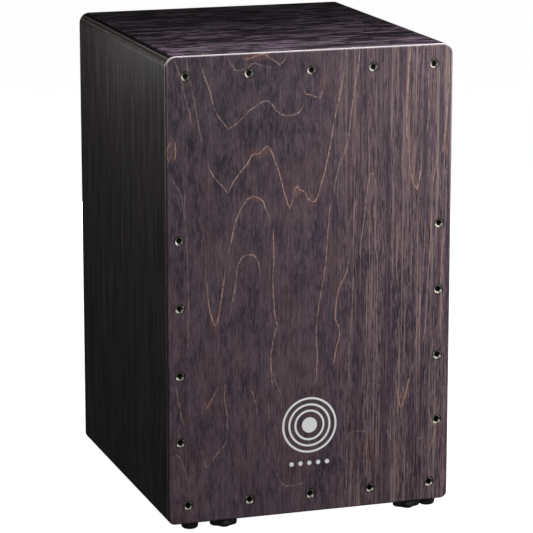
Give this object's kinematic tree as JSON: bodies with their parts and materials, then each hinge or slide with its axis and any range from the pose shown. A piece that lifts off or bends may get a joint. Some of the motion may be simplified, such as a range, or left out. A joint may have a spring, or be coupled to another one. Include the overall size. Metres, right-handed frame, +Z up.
{
  "type": "cajon",
  "caption": "Wooden box drum: screwed plywood front plate, rounded seat, rear sound port, rubber feet and star knobs that tighten snare strings behind the front.",
  "frame": {"origin": "on the floor, under the middle of the box", "axes": "+Z up; the tapa (struck front) faces -Y; -X is on the left as the front is faced"},
  "size_m": [0.3, 0.33, 0.485],
  "materials": {
    "stained_tapa": "dark translucent stain over rotary-cut veneer, satin lacquer",
    "stained_seat": "dark stained plywood, satin lacquer",
    "stained_side": "near-black stained plywood, satin",
    "batten_wood": "raw sanded softwood",
    "screw_steel": "zinc-plated steel",
    "black_rubber": "matt moulded rubber",
    "black_plastic": "moulded, fine texture",
    "brass": "turned brass",
    "string_steel": "wound steel string"
  },
  "bodies": {
    "box": {"tapa": "stained_tapa", "seat_panel": "stained_seat", "left_side_panel": "stained_side", "right_side_panel": "stained_side", "bottom_panel": "stained_side", "back_panel": "stained_side", "front_batten_top": "batten_wood", "front_batten_bottom": "batten_wood", "front_batten_left": "batten_wood", "front_batten_right": "batten_wood", "rear_batten_top": "batten_wood", "rear_batten_bottom": "batten_wood", "rear_batten_left": "batten_wood", "rear_batten_right": "batten_wood", "tapa_screw_top_1": "screw_steel", "tapa_screw_top_2": "screw_steel", "tapa_screw_top_3": "screw_steel", "tapa_screw_top_4": "screw_steel", "tapa_screw_top_5": "screw_steel", "tapa_screw_bottom_1": "screw_steel", "tapa_screw_bottom_2": "screw_steel", "tapa_screw_bottom_3": "screw_steel", "tapa_screw_bottom_4": "screw_steel", "tapa_screw_bottom_5": "screw_steel", "tapa_screw_left_1": "screw_steel", "tapa_screw_left_2": "screw_steel", "tapa_screw_left_3": "screw_steel", "tapa_screw_left_4": "screw_steel", "tapa_screw_right_1": "screw_steel", "tapa_screw_right_2": "screw_steel", "tapa_screw_right_3": "screw_steel", "tapa_screw_right_4": "screw_steel", "foot_front_left": "black_rubber", "foot_screw_front_left": "screw_steel", "foot_front_right": "black_rubber", "foot_screw_front_right": "screw_steel", "foot_rear_left": "black_rubber", "foot_screw_rear_left": "screw_steel", "foot_rear_right": "black_rubber", "foot_screw_rear_right": "screw_steel", "knob_washer_left": "screw_steel", "bolt_bush_left": "brass", "snare_string_left_outer": "string_steel", "snare_string_left_inner": "string_steel", "knob_washer_right": "screw_steel", "bolt_bush_right": "brass", "snare_string_right_outer": "string_steel", "snare_string_right_inner": "string_steel", "string_anchor_bar": "screw_steel", "anchor_screw_left": "screw_steel", "anchor_screw_right": "screw_steel"},
    "knob_left": {"snare_knob_left": "black_plastic", "knob_insert_left": "brass"},
    "bolt_left": {"tension_bolt_left": "screw_steel"},
    "knob_right": {"snare_knob_right": "black_plastic", "knob_insert_right": "brass"},
    "bolt_right": {"tension_bolt_right": "screw_steel"}
  },
  "joints": [
    {"name": "knob_left_turn", "type": "hinge", "parent": "box", "child": "knob_left", "pos_m": [-0.088, -0.148, 0.005], "axis": [0, 0, 1], "range_deg": [-720, 720]},
    {"name": "bolt_left_travel", "type": "slide", "parent": "box", "child": "bolt_left", "axis": [0, 0, 1], "range_m": [-0.00162, 0.00162], "deforming": ["snare_string_left_outer", "snare_string_left_inner"]},
    {"name": "knob_right_turn", "type": "hinge", "parent": "box", "child": "knob_right", "pos_m": [0.1105, -0.148, 0.005], "axis": [0, 0, 1], "range_deg": [-720, 720]},
    {"name": "bolt_right_travel", "type": "slide", "parent": "box", "child": "bolt_right", "axis": [0, 0, 1], "range_m": [-0.00162, 0.00162], "deforming": ["snare_string_right_outer", "snare_string_right_inner"]}
  ],
  "couplings": [
    {"joint": "bolt_left_travel", "follows": "knob_left_turn", "m_per_rad": -0.00012732},
    {"joint": "bolt_right_travel", "follows": "knob_right_turn", "m_per_rad": -0.00012732}
  ]
}
